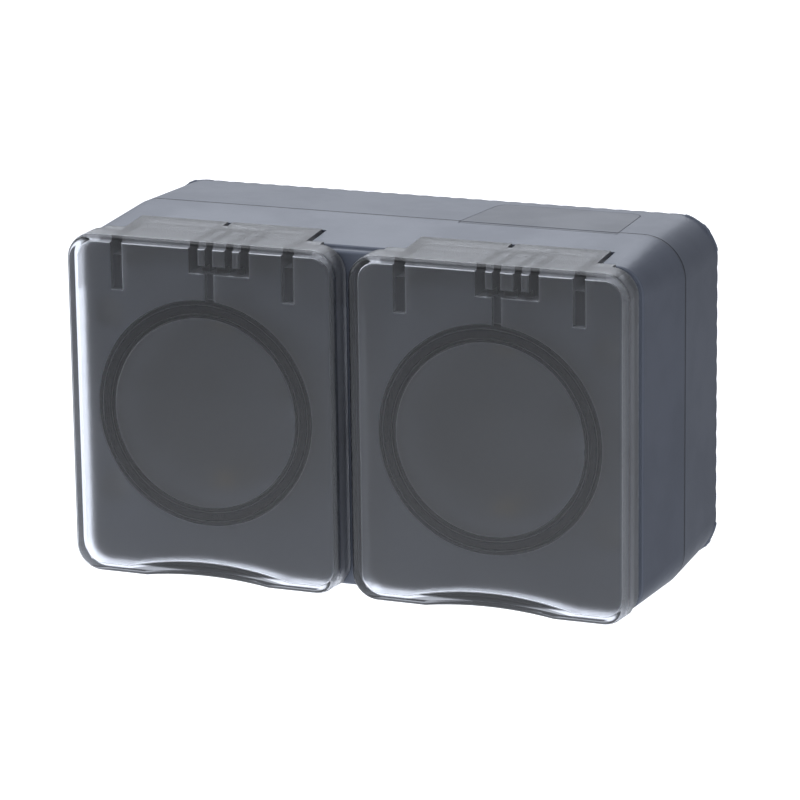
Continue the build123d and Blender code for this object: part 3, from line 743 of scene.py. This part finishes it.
FINISHES: dict[Slot, Finish] = {
    Slot.CASE: MouldedPlastic(
        "moulded_blue_grey", colour=(0.078, 0.086, 0.108), roughness=0.36, edge_highlight=0.3, seam_depth=0.0252
    ),
    Slot.ENTRY: MouldedPlastic("moulded_warm_grey", colour=(0.082, 0.086, 0.098), roughness=0.42),
    Slot.SMOKE: SmokePlastic("frosted_smoke"),
    Slot.SEAL: MouldedPlastic(
        "black_rubber", colour=(0.016, 0.016, 0.017), roughness=0.72, grain_scale=1800.0, specular=0.3
    ),
    Slot.CUP: MouldedPlastic("moulded_dark_grey", colour=(0.105, 0.112, 0.135), roughness=0.5),
    Slot.CARRIER: MouldedPlastic("black_insulator", colour=(0.018, 0.018, 0.020), roughness=0.38),
    Slot.BRASS: SheetMetal("stamped_brass"),
    Slot.STEEL: SheetMetal(
        "zinc_plate", colour=(0.30, 0.30, 0.31), film_colour=(0.16, 0.16, 0.16), roughness=0.40
    ),
    Slot.SPRING: SheetMetal(
        "drawn_spring_wire", colour=(0.46, 0.46, 0.46), film_colour=(0.28, 0.27, 0.26), roughness=0.28
    ),
}


@dataclass(frozen=True)
class Rule:
    """Shape that repeats or follows a path, built once as a Geometry Nodes tree."""

    name: str
    sizes: tuple[str, ...]
    wire: Callable[[NodeBoard, Sockets], bpy.types.NodeSocket]

    def tree(self) -> bpy.types.NodeTree:
        """Build the tree at its first use, ending in real geometry with one material.

        Returns:
            The tree.
        """
        if self.name in bpy.data.node_groups:
            return bpy.data.node_groups[self.name]
        tree = bpy.data.node_groups.new(self.name, "GeometryNodeTree")
        sizes = tuple((name, "Float") for name in self.sizes)
        for name, kind in (("Places", "Geometry"), *sizes, ("Finish", "Material")):
            tree.interface.new_socket(name, in_out="INPUT", socket_type=f"NodeSocket{kind}")
        tree.interface.new_socket("Shape", in_out="OUTPUT", socket_type="NodeSocketGeometry")
        board = NodeBoard(tree)
        given = {socket.name: socket for socket in board.add("NodeGroupInput").outputs if socket.name}
        shape = self.wire(board, given)
        copies = board.add("GeometryNodeInstanceOnPoints", {"Points": given["Places"], "Instance": shape})
        real = board.add("GeometryNodeRealizeInstances", {0: copies.outputs[0]})
        painted = board.add("GeometryNodeSetMaterial", {0: real.outputs[0], "Material": given["Finish"]})
        board.add("NodeGroupOutput", {0: painted.outputs[0]})
        return tree

    def piece(self, name: str, places: list[Point], finish: Finish, **values: Any) -> bpy.types.Object:
        """Make a plain mesh object from the tree.

        Args:
            name: Name of the piece.
            places: Points that each get one copy of the shape.
            finish: Its finish.
            **values: The tree's inputs by name, with _ for a space.

        Returns:
            The piece.
        """
        points = bpy.data.meshes.new(f"{name}_places")
        points.from_pydata(places, [], [])
        seed = placed(f"{name}_places", points)
        modifier = seed.modifiers.new(self.name, "NODES")
        modifier.node_group = self.tree()
        wanted = {label.replace("_", " "): value for label, value in values.items()}
        wanted["Finish"] = finish.material()
        for socket in modifier.node_group.interface.items_tree:
            if socket.in_out == "INPUT" and socket.name in wanted:
                modifier[socket.identifier] = wanted[socket.name]
        ready = seed.evaluated_get(bpy.context.evaluated_depsgraph_get())
        mesh = bpy.data.meshes.new_from_object(ready)
        bpy.data.objects.remove(seed)
        return placed(name, mesh)


def wire_screw(board: NodeBoard, given: Sockets) -> bpy.types.NodeSocket:
    """Wire a threaded screw with a cross recess, its seat at the origin and its head towards +Z.

    Args:
        board: Nodes of the tree.
        given: The tree's inputs.

    Returns:
        The turned screw.
    """
    core = board.math("SUBTRACT", given["Shank Radius"], given["Thread Height"])
    down = board.math("MULTIPLY", given["Length"], -1.0)
    middle = board.add("ShaderNodeCombineXYZ", {"Z": board.math("MULTIPLY", down, 0.5)})
    shank = board.add("GeometryNodeMeshCylinder", {"Vertices": 20, "Radius": core, "Depth": given["Length"]})
    shank = board.add("GeometryNodeTransform", {0: shank.outputs[0], "Translation": middle.outputs[0]})
    spiral = board.add(
        "GeometryNodeCurveSpiral",
        {
            "Resolution": 18,
            "Rotations": board.math("DIVIDE", given["Length"], given["Pitch"]),
            "Start Radius": core,
            "End Radius": core,
            "Height": given["Length"],
        },
    )
    ridge = board.add("GeometryNodeCurvePrimitiveCircle", {"Resolution": 4, "Radius": given["Thread Height"]})
    thread = board.add(
        "GeometryNodeCurveToMesh",
        {0: spiral.outputs[0], 1: ridge.outputs[0], "Fill Caps": True},
    )
    lowered = board.add("ShaderNodeCombineXYZ", {"Z": down})
    thread = board.add("GeometryNodeTransform", {0: thread.outputs[0], "Translation": lowered.outputs[0]})
    head = board.add(
        "GeometryNodeMeshCone",
        {
            "Vertices": 36,
            "Radius Top": board.math("MULTIPLY", given["Head Radius"], HEAD_TAPER),
            "Radius Bottom": given["Head Radius"],
            "Depth": given["Head Height"],
        },
    )
    reach = board.math("MULTIPLY", given["Head Radius"], RECESS_REACH)
    bars = board.add("GeometryNodeJoinGeometry")
    top = board.add("ShaderNodeCombineXYZ", {"Z": given["Head Height"]})
    for sizes in ({"X": reach, "Y": given["Recess Width"]}, {"X": given["Recess Width"], "Y": reach}):
        size = board.add("ShaderNodeCombineXYZ", {**sizes, "Z": given["Head Height"]})
        bar = board.add("GeometryNodeMeshCube", {"Size": size.outputs[0]})
        moved = board.add("GeometryNodeTransform", {0: bar.outputs[0], "Translation": top.outputs[0]})
        board.feed(bars.inputs[0], moved.outputs[0])
    cut = board.add(
        "GeometryNodeMeshBoolean", {0: head.outputs[0], 1: bars.outputs[0]}, operation="DIFFERENCE"
    )
    whole = board.add("GeometryNodeJoinGeometry")
    for shape in (shank, thread, cut):
        board.feed(whole.inputs[0], shape.outputs[0])
    turn = board.add("ShaderNodeCombineXYZ", {"X": given["Tilt"]})
    return board.add("GeometryNodeTransform", {0: whole.outputs[0], "Rotation": turn.outputs[0]}).outputs[0]


def wire_seal_ring(board: NodeBoard, given: Sockets) -> bpy.types.NodeSocket:
    """Wire a ring of rubber with a round lip on each edge, its axis along Y.

    Args:
        board: Nodes of the tree.
        given: The tree's inputs.

    Returns:
        The ring.
    """
    path = board.add("GeometryNodeCurvePrimitiveCircle", {"Resolution": 128, "Radius": given["Radius"]})
    profile = board.add(
        "GeometryNodeCurvePrimitiveQuadrilateral", {"Width": given["Width"], "Height": given["Height"]}
    )
    rounded = board.add(
        "GeometryNodeFilletCurve", {0: profile.outputs[0], "Radius": given["Corner"], "Count": 4}, mode="POLY"
    )
    ring = board.add("GeometryNodeCurveToMesh", {0: path.outputs[0], 1: rounded.outputs[0]})
    smooth = board.add("GeometryNodeSetShadeSmooth", {0: ring.outputs[0]})
    return board.add("GeometryNodeTransform", {0: smooth.outputs[0], "Rotation": QUARTER_TURN}).outputs[0]


def wire_scallops(board: NodeBoard, given: Sockets) -> bpy.types.NodeSocket:
    """Wire a row of flat beads that follows the outline of a rounded rectangle in the wall's plane.

    Args:
        board: Nodes of the tree.
        given: The tree's inputs.

    Returns:
        The row of beads.
    """
    outline = board.add(
        "GeometryNodeCurvePrimitiveQuadrilateral", {"Width": given["Width"], "Height": given["Height"]}
    )
    rounded = board.add(
        "GeometryNodeFilletCurve",
        {0: outline.outputs[0], "Radius": given["Corner"], "Count": 10},
        mode="POLY",
    )
    spaced = board.add(
        "GeometryNodeCurveToPoints", {0: rounded.outputs[0], "Length": given["Pitch"]}, mode="LENGTH"
    )
    size = board.add(
        "ShaderNodeCombineXYZ",
        {"X": given["Bead Rise"], "Y": given["Bead Depth"], "Z": given["Bead Length"]},
    )
    bead = board.add("GeometryNodeMeshUVSphere", {"Segments": 16, "Rings": 10, "Radius": 1.0})
    smooth = board.add("GeometryNodeSetShadeSmooth", {0: bead.outputs[0]})
    row = board.add(
        "GeometryNodeInstanceOnPoints",
        {
            "Points": spaced.outputs["Points"],
            "Instance": smooth.outputs[0],
            "Rotation": spaced.outputs["Rotation"],
            "Scale": size.outputs[0],
        },
    )
    return board.add("GeometryNodeTransform", {0: row.outputs[0], "Rotation": QUARTER_TURN}).outputs[0]


SCREW = Rule(
    "cross_screw",
    (
        "Shank Radius",
        "Length",
        "Head Radius",
        "Head Height",
        "Recess Width",
        "Pitch",
        "Thread Height",
        "Tilt",
    ),
    wire_screw,
)
SEAL_RING = Rule("seal_ring", ("Radius", "Width", "Height", "Corner"), wire_seal_ring)
SCALLOPS = Rule(
    "scallops",
    ("Width", "Height", "Corner", "Pitch", "Bead Rise", "Bead Depth", "Bead Length"),
    wire_scallops,
)


@dataclass(frozen=True)
class PhotoCamera:
    """Camera that sees the part from the photograph's angle, for a square image."""

    lens_mm: float = 192.75
    sensor_mm: float = 36.0
    yaw_deg: float = 22.005
    pitch_deg: float = 15.034
    roll_deg: float = -0.778
    distance: float = 0.95643
    target: Point = (0.0, -0.02538, 0.0)
    slide_right: float = 0.000210
    slide_up: float = -0.001856
    clip: Span = (0.01, 50.0)

    def build(self) -> bpy.types.Object:
        """Make the camera and set it as the scene's.

        Returns:
            The camera.
        """
        yaw, pitch, roll = (math.radians(a) for a in (self.yaw_deg, self.pitch_deg, self.roll_deg))
        level = math.cos(pitch)
        back = Vector((math.sin(yaw) * level, -math.cos(yaw) * level, math.sin(pitch)))
        flat_right = Vector((math.cos(yaw), math.sin(yaw), 0.0))
        flat_up = back.cross(flat_right)
        right = math.cos(roll) * flat_right + math.sin(roll) * flat_up
        up = math.cos(roll) * flat_up - math.sin(roll) * flat_right
        data = bpy.data.cameras.new("photo_camera")
        data.lens, data.sensor_width = self.lens_mm, self.sensor_mm
        data.clip_start, data.clip_end = self.clip
        camera = placed("photo_camera", data)
        place = Vector(self.target) + back * self.distance + right * self.slide_right + up * self.slide_up
        turn = Matrix((right, up, back)).transposed().to_4x4()
        camera.matrix_world = Matrix.Translation(place) @ turn
        bpy.context.scene.camera = camera
        return camera


@dataclass(frozen=True)
class Softbox:
    """Square area lamp that faces the part."""

    name: str
    place: Point
    size: float
    power: float

    def build(self) -> bpy.types.Object:
        """Make the lamp.

        Returns:
            The lamp.
        """
        data = bpy.data.lights.new(self.name, "AREA")
        data.size, data.energy, data.color = self.size, self.power, COOL_WHITE
        lamp = placed(self.name, data)
        lamp.location = self.place
        lamp.rotation_euler = (-Vector(self.place)).to_track_quat("-Z", "Y").to_euler()
        return lamp


@dataclass(frozen=True)
class Studio:
    """White surroundings that dim behind the part's right, a pale floor and soft lamps."""

    floor_height: float = -0.16
    floor_size: float = 12.0
    floor_tone: float = 0.85
    floor_glow: float = 0.55
    floor_reach: float = 0.2
    surround_reach: float = 0.25
    onset: float = -0.5

    # Gain of the floor's light, which is higher in a pool in front of the part
    floor_gain: float = 1.15
    pool_gain: float = 2.3
    pool_middle: Span = (0.0, -0.35)
    pool_reach: Span = (0.15, 0.70)

    # Light that gloss finds, that clear plastic finds behind and in front, and that the rest finds there
    sheen: float = 0.65
    beyond: float = 3.0
    front: float = 0.02
    ambient: float = 0.45
    front_ambient: float = 0.8

    # Share that is left of it behind the part's right, and of what clear plastic finds there
    dim: float = 0.38
    clear_dim: float = 0.12
    lamps: tuple[Softbox, ...] = (
        Softbox("back_softbox", (-0.70, 1.60, 1.25), 1.5, 9.5),
        Softbox("top_softbox", (-0.20, -0.20, 1.00), 0.9, 4.0),
        Softbox("left_softbox", (-1.0, -0.75, 0.35), 0.7, 3.0),
    )

    def build(self) -> None:
        """Make the world, the floor, the lamps and the camera."""
        bpy.context.scene.view_settings.view_transform = "Standard"
        self.surround()
        self.floor()
        for lamp in self.lamps:
            lamp.build()
        PhotoCamera().build()

    def level(self, board: NodeBoard, heading: bpy.types.NodeSocket, reach: float) -> bpy.types.NodeSocket:
        """Wire the brightness of the surroundings for each kind of ray.

        Gloss finds less light behind the part's right, clear plastic finds less there and in front,
        and the camera sees white.

        Args:
            board: Nodes of the world or the floor.
            heading: Direction or place, with X to the right and Y into the wall.
            reach: Distance from the middle at which the light is dimmest.

        Returns:
            The brightness.
        """
        parts = board.add("ShaderNodeSeparateXYZ", {0: heading})
        right = board.remap(parts.outputs["X"], self.onset * reach, reach, 0.0, 1.0)
        back = board.remap(parts.outputs["Y"], self.onset * reach, reach, 0.0, 1.0)
        corner = board.math("MULTIPLY", right, back)
        aside = board.remap(corner, 0.0, 1.0, 1.0, self.dim)
        gloss = board.math("MULTIPLY", aside, self.sheen)
        clear = board.remap(back, 0.0, 1.0, self.front, self.beyond)
        clear = board.math("MULTIPLY", clear, board.remap(corner, 0.0, 1.0, 1.0, self.clear_dim))
        path = board.add("ShaderNodeLightPath").outputs
        level = board.math("MULTIPLY", aside, board.remap(back, 0.0, 1.0, self.front_ambient, self.ambient))
        kinds = {"Is Glossy Ray": gloss, "Is Transmission Ray": clear, "Is Camera Ray": 1.0}
        for kind, strength in kinds.items():
            level = board.add("ShaderNodeMix", {0: path[kind], 2: level, 3: strength}).outputs[0]
        return level

    def surround(self) -> None:
        """Surround the part with light that the camera sees as white."""
        world = bpy.data.worlds.new("white_surround")
        world.use_nodes = True
        bpy.context.scene.world = world
        board = NodeBoard(world.node_tree)
        heading = board.add("ShaderNodeTexCoord").outputs["Generated"]
        camera = board.add("ShaderNodeLightPath").outputs["Is Camera Ray"]
        colour = board.blend(camera, COOL_WHITE, WHITE)
        strength = self.level(board, heading, self.surround_reach)
        light = board.add("ShaderNodeBackground", {"Color": colour, "Strength": strength})
        board.add("ShaderNodeOutputWorld", {"Surface": light.outputs[0]})

    def floor(self) -> bpy.types.Object:
        """Lay the floor, which glows white to the camera and keeps the part's shadow.

        Returns:
            The floor.
        """
        half = self.floor_size / 2
        edges = ((-half, -half), (half, -half), (half, half), (-half, half))
        mesh = bpy.data.meshes.new("floor")
        mesh.from_pydata([(x, y, self.floor_height) for x, y in edges], [], [(0, 1, 2, 3)])
        made = bpy.data.materials.new("pale_floor")
        made.use_nodes = True
        board = NodeBoard(made.node_tree)
        place = board.add("ShaderNodeTexCoord").outputs["Object"]
        pool = (*self.pool_middle, self.floor_height)
        away = board.add("ShaderNodeVectorMath", {0: place, 1: pool}, operation="DISTANCE")
        gain = board.remap(away.outputs["Value"], *self.pool_reach, self.pool_gain, self.floor_gain)
        strength = board.math("MULTIPLY", self.level(board, place, self.floor_reach), gain)
        camera = board.add("ShaderNodeLightPath").outputs["Is Camera Ray"]
        tone = board.blend(camera, BLACK, (self.floor_tone,) * 3)
        matte = board.add("ShaderNodeBsdfDiffuse", {"Color": tone})
        strength = board.add("ShaderNodeMix", {0: camera, 2: strength, 3: self.floor_glow}).outputs[0]
        colour = board.blend(camera, COOL_WHITE, WHITE)
        glow = board.add("ShaderNodeEmission", {"Color": colour, "Strength": strength})
        both = board.add("ShaderNodeAddShader", {0: matte.outputs[0], 1: glow.outputs[0]})
        board.add("ShaderNodeOutputMaterial", {"Surface": both.outputs[0]})
        mesh.materials.append(made)
        floor = placed("floor", mesh)
        return floor


class Solids:
    """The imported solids, each with the finish of its slot."""

    def __init__(self, frame: dict[str, Any]) -> None:
        """Keep the solids and their slots.
        """
        self.nodes: dict[str, bpy.types.Object] = frame["nodes"]
        self.slots = {part["node"]: Slot(part["material_slot"]) for part in frame["record"]["subparts"]}

    def finish(self, name: str) -> Finish:
        """Give the finish of a solid's slot."""
        return FINISHES[self.slots[name]]

    def dress(self, name: str) -> None:
        """Give a solid its finish.

        Args:
            name: Name of the solid.
        """
        materials = self.nodes[name].data.materials
        materials.clear()
        materials.append(self.finish(name).material())
        LOG.info("dressed %s", name)

    def stand_in(self, piece: bpy.types.Object, body: str, name: str) -> None:
        """Show a piece in place of a solid.

        Args:
            piece: The piece.
            body: Body that it moves with.
            name: Name of the solid.
        """
        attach(piece, body)
        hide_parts(name)
        LOG.info("%s stands for %s", piece.name, name)


@dataclass(frozen=True)
class SubAssembly:
    """Group of solids that are built and dressed together."""

    plain: tuple[str, ...] = ()

    def build(self, solids: Solids) -> None:
        """Build the pieces that the solids alone don't show."""

    def dress(self, solids: Solids) -> None:
        """Give the plain solids their finish.

        Args:
            solids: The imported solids.
        """
        for name in self.plain:
            solids.dress(name)


@dataclass(frozen=True)
class Mouldings(SubAssembly):
    """Back box, front housing, their gasket and the cable entry, with scallops along the rear edge."""

    plain: tuple[str, ...] = ("back_box", "front_housing", "cable_entry_insert", "housing_gasket")
    rear_width: float = 0.1326
    rear_height: float = 0.0788
    corner: float = 0.0089
    bead_pitch: float = 0.0043
    bead_length: float = 0.0034
    bead_radius: float = 0.0006
    bead_sunk: float = 0.00052

    def build(self, solids: Solids) -> None:
        """Lay the scallops round the rear edge of the back box.

        Args:
            solids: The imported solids.
        """
        row = SCALLOPS.piece(
            "rear_scallops",
            [(0.0, -self.bead_radius, 0.0)],
            solids.finish("back_box"),
            Width=self.rear_width - 2 * self.bead_sunk,
            Height=self.rear_height - 2 * self.bead_sunk,
            Corner=self.corner - self.bead_sunk,
            Pitch=self.bead_pitch,
            Bead_Rise=self.bead_radius,
            Bead_Depth=self.bead_radius,
            Bead_Length=self.bead_length,
        )
        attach(row, "housing")
        LOG.info("laid %s", row.name)


@dataclass(frozen=True)
class Lid(SubAssembly):
    """One smoke-tinted lid with the seal ring in its face."""

    side: Side = Side.LEFT
    centre: float = WELL_X
    back_depth: float = LID_BACK
    inside_depth: float = LID_INSIDE
    seal_bite: float = 0.00015
    seal_radius: float = 0.02355
    seal_width: float = 0.0020
    seal_corner: float = 0.0002
    groove: Span = (0.0223, 0.0248)
    fillet: float = 0.00035
    fillet_steps: int = 3
    foot_top: float = -0.0300
    foot_full: float = -0.0335
    foot_end: float = -0.0370
    foot_half: float = 0.0302
    foot_drop: float = 0.0004
    weld: float = 1e-6
    tolerance: float = 1e-5
    flat_angle: float = math.radians(0.5)
    corner_angle: float = 0.5

    def build(self, solids: Solids) -> None:
        """Round the lid's inner corners and lay its seal ring.

        Args:
            solids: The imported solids.
        """
        lid = f"{self.side.value}_lid"
        solids.stand_in(self.shell(solids.nodes[lid], f"{lid}_shell", solids.finish(lid)), lid, lid)
        height = self.inside_depth - self.back_depth + self.seal_bite
        middle = self.back_depth + height / 2
        across = -self.centre if self.side is Side.LEFT else self.centre
        ring = SEAL_RING.piece(
            f"{lid}_seal_ring",
            [(across, -middle, 0.0)],
            solids.finish(f"{lid}_gasket"),
            Radius=self.seal_radius,
            Width=self.seal_width,
            Height=height,
            Corner=self.seal_corner,
        )
        solids.stand_in(ring, lid, f"{lid}_gasket")

    def thin_foot(self, vert: bmesh.types.BMVert) -> None:
        """Lower a corner of the hollow's floor, so that the wall below it gets thinner.

        Args:
            vert: Corner of the lid's mesh.
        """
        place = vert.co
        across = abs(abs(place.x) - self.centre)
        behind = place.y > -self.inside_depth - self.tolerance
        if behind and across < self.foot_half and self.foot_end < place.z < self.foot_top:
            share = (self.foot_top - place.z) / (self.foot_top - self.foot_full)
            place.z -= self.foot_drop * min(share, 1.0)

    def rounds(self, edge: bmesh.types.BMEdge) -> bool:
        """Tell whether an edge is an inner corner of the face, outside the seal's groove.

        Args:
            edge: Edge of the lid's mesh.

        Returns:
            True for an edge that gets a fillet.
        """
        level = all(abs(vert.co.y + self.inside_depth) < self.tolerance for vert in edge.verts)
        if not level or not edge.is_manifold or edge.is_convex:
            return False
        if edge.calc_face_angle(0.0) < self.corner_angle:
            return False
        radii = [math.hypot(abs(vert.co.x) - self.centre, vert.co.z) for vert in edge.verts]
        return not all(self.groove[0] < radius < self.groove[1] for radius in radii)

    def shell(self, solid: bpy.types.Object, name: str, finish: Finish) -> bpy.types.Object:
        """Copy the lid, thin its bottom wall and fill the inner corners of its face with small fillets.

        Args:
            solid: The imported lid.
            name: Name of the copy.
            finish: Its finish.

        Returns:
            The copy.
        """
        work = bmesh.new()
        work.from_mesh(solid.data)
        bmesh.ops.remove_doubles(work, verts=work.verts, dist=self.weld)
        bmesh.ops.dissolve_limit(work, angle_limit=self.flat_angle, verts=work.verts, edges=work.edges)
        for vert in work.verts:
            self.thin_foot(vert)
        work.normal_update()
        inner = [edge for edge in work.edges if self.rounds(edge)]
        bmesh.ops.bevel(
            work,
            geom=inner,
            offset=self.fillet,
            offset_type="OFFSET",
            segments=self.fillet_steps,
            profile=0.5,
            affect="EDGES",
        )
        bmesh.ops.triangulate(work, faces=work.faces)
        mesh = bpy.data.meshes.new(name)
        work.to_mesh(mesh)
        work.free()
        mesh.materials.append(finish.material())
        LOG.info("rounded %d corners of %s", len(inner), name)
        return placed(name, mesh)


@dataclass(frozen=True)
class HingeGear(SubAssembly):
    """Hinge pins and torsion springs of both lids."""

    plain: tuple[str, ...] = ("left_hinge_pin", "right_hinge_pin", "left_lid_spring", "right_lid_spring")


@dataclass(frozen=True)
class Wells(SubAssembly):
    """Socket cups behind the lids."""

    plain: tuple[str, ...] = ("left_socket_cup", "right_socket_cup")


@dataclass(frozen=True)
class ContactDeck(SubAssembly):
    """Contact carrier with its busbars, earth clips and terminals."""

    plain: tuple[str, ...] = (
        "contact_carrier",
        "line_busbar",
        "neutral_busbar",
        "left_earth_clip",
        "right_earth_clip",
        "earth_bar",
        "line_terminal",
        "neutral_terminal",
        "earth_terminal",
    )


@dataclass(frozen=True)
class ScrewSet:
    """Screws of one size, with the seat of each as x, depth and z in millimetres."""

    name: str
    node: str
    seats: tuple[Point, ...]
    shank_radius: float = 1.25
    length: float = 8.0
    head_radius: float = 2.2
    head_height: float = 1.6
    recess_width: float = 0.7
    thread_height: float = 0.22
    pitch: float = 0.8
    facing: Facing = Facing.FRONT

    def build(self, finish: Finish) -> bpy.types.Object:
        """Make the screws.

        Args:
            finish: Their finish.

        Returns:
            One piece that holds them all.
        """
        return SCREW.piece(
            self.name,
            [(x * MM, -depth * MM, z * MM) for x, depth, z in self.seats],
            finish,
            Shank_Radius=self.shank_radius * MM,
            Length=self.length * MM,
            Head_Radius=self.head_radius * MM,
            Head_Height=self.head_height * MM,
            Recess_Width=self.recess_width * MM,
            Thread_Height=self.thread_height * MM,
            Pitch=self.pitch * MM,
            Tilt=self.facing.value,
        )


def mirrored(points: tuple[Point, ...]) -> tuple[Point, ...]:
    """Repeat points, in millimetres, for both wells, whose middles lie left and right of the origin."""
    return tuple((side * WELL_X / MM + x, depth, z) for side in (-1, 1) for x, depth, z in points)


@dataclass(frozen=True)
class Fasteners(SubAssembly):
    """Every screw of the unit."""

    sets: tuple[ScrewSet, ...] = (
        ScrewSet(
            "housing_cross_screws",
            "housing_screws",
            tuple((x, 46.0, z) for x in (-58.4, 58.4) for z in (-20.0, 20.0)),
            shank_radius=1.9,
            length=34.8,
            head_radius=3.4,
            head_height=2.4,
            recess_width=0.9,
            thread_height=0.3,
            pitch=1.4,
        ),
        ScrewSet(
            "cup_cross_screws",
            "cup_screws",
            mirrored(((-23.11, 40.0, 10.78), (23.11, 40.0, 10.78), (0.0, 40.0, -25.5))),
            length=7.0,
            facing=Facing.WALL,
        ),
        ScrewSet(
            "carrier_cross_screws",
            "carrier_screws",
            tuple((x, 16.0, z) for x in (-49.0, 49.0) for z in (-14.5, 14.5)),
        ),
        ScrewSet("upper_earth_cross_screws", "earth_screws", mirrored(((0.0, 23.8, 14.5),)), length=6.8),
        ScrewSet("lower_earth_cross_screws", "earth_screws", mirrored(((0.0, 22.8, -14.5),)), length=5.8),
        ScrewSet(
            "terminal_cross_screws",
            "terminal_screws",
            ((-7.8, 27.0, 8.0), (7.8, 27.0, -8.0), (0.0, 33.8, 14.5)),
            shank_radius=1.75,
            length=5.1,
            head_radius=2.5,
            head_height=1.8,
        ),
    )

    def build(self, solids: Solids) -> None:
        """Make the screws and show them in place of the plain ones.

        Args:
            solids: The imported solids.
        """
        for screws in self.sets:
            solids.stand_in(screws.build(solids.finish(screws.node)), "housing", screws.node)


def main() -> None:
    """Build the studio, then build and dress every sub-assembly."""
    logging.basicConfig(level=logging.INFO, format="%(name)s: %(message)s")
    solids = Solids(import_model())
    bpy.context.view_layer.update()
    Studio().build()
    groups = (
        Mouldings(),
        Lid(side=Side.LEFT),
        Lid(side=Side.RIGHT),
        HingeGear(),
        Wells(),
        ContactDeck(),
        Fasteners(),
    )
    for group in groups:
        group.build(solids)
        group.dress(solids)


if __name__ == "__main__":
    main()
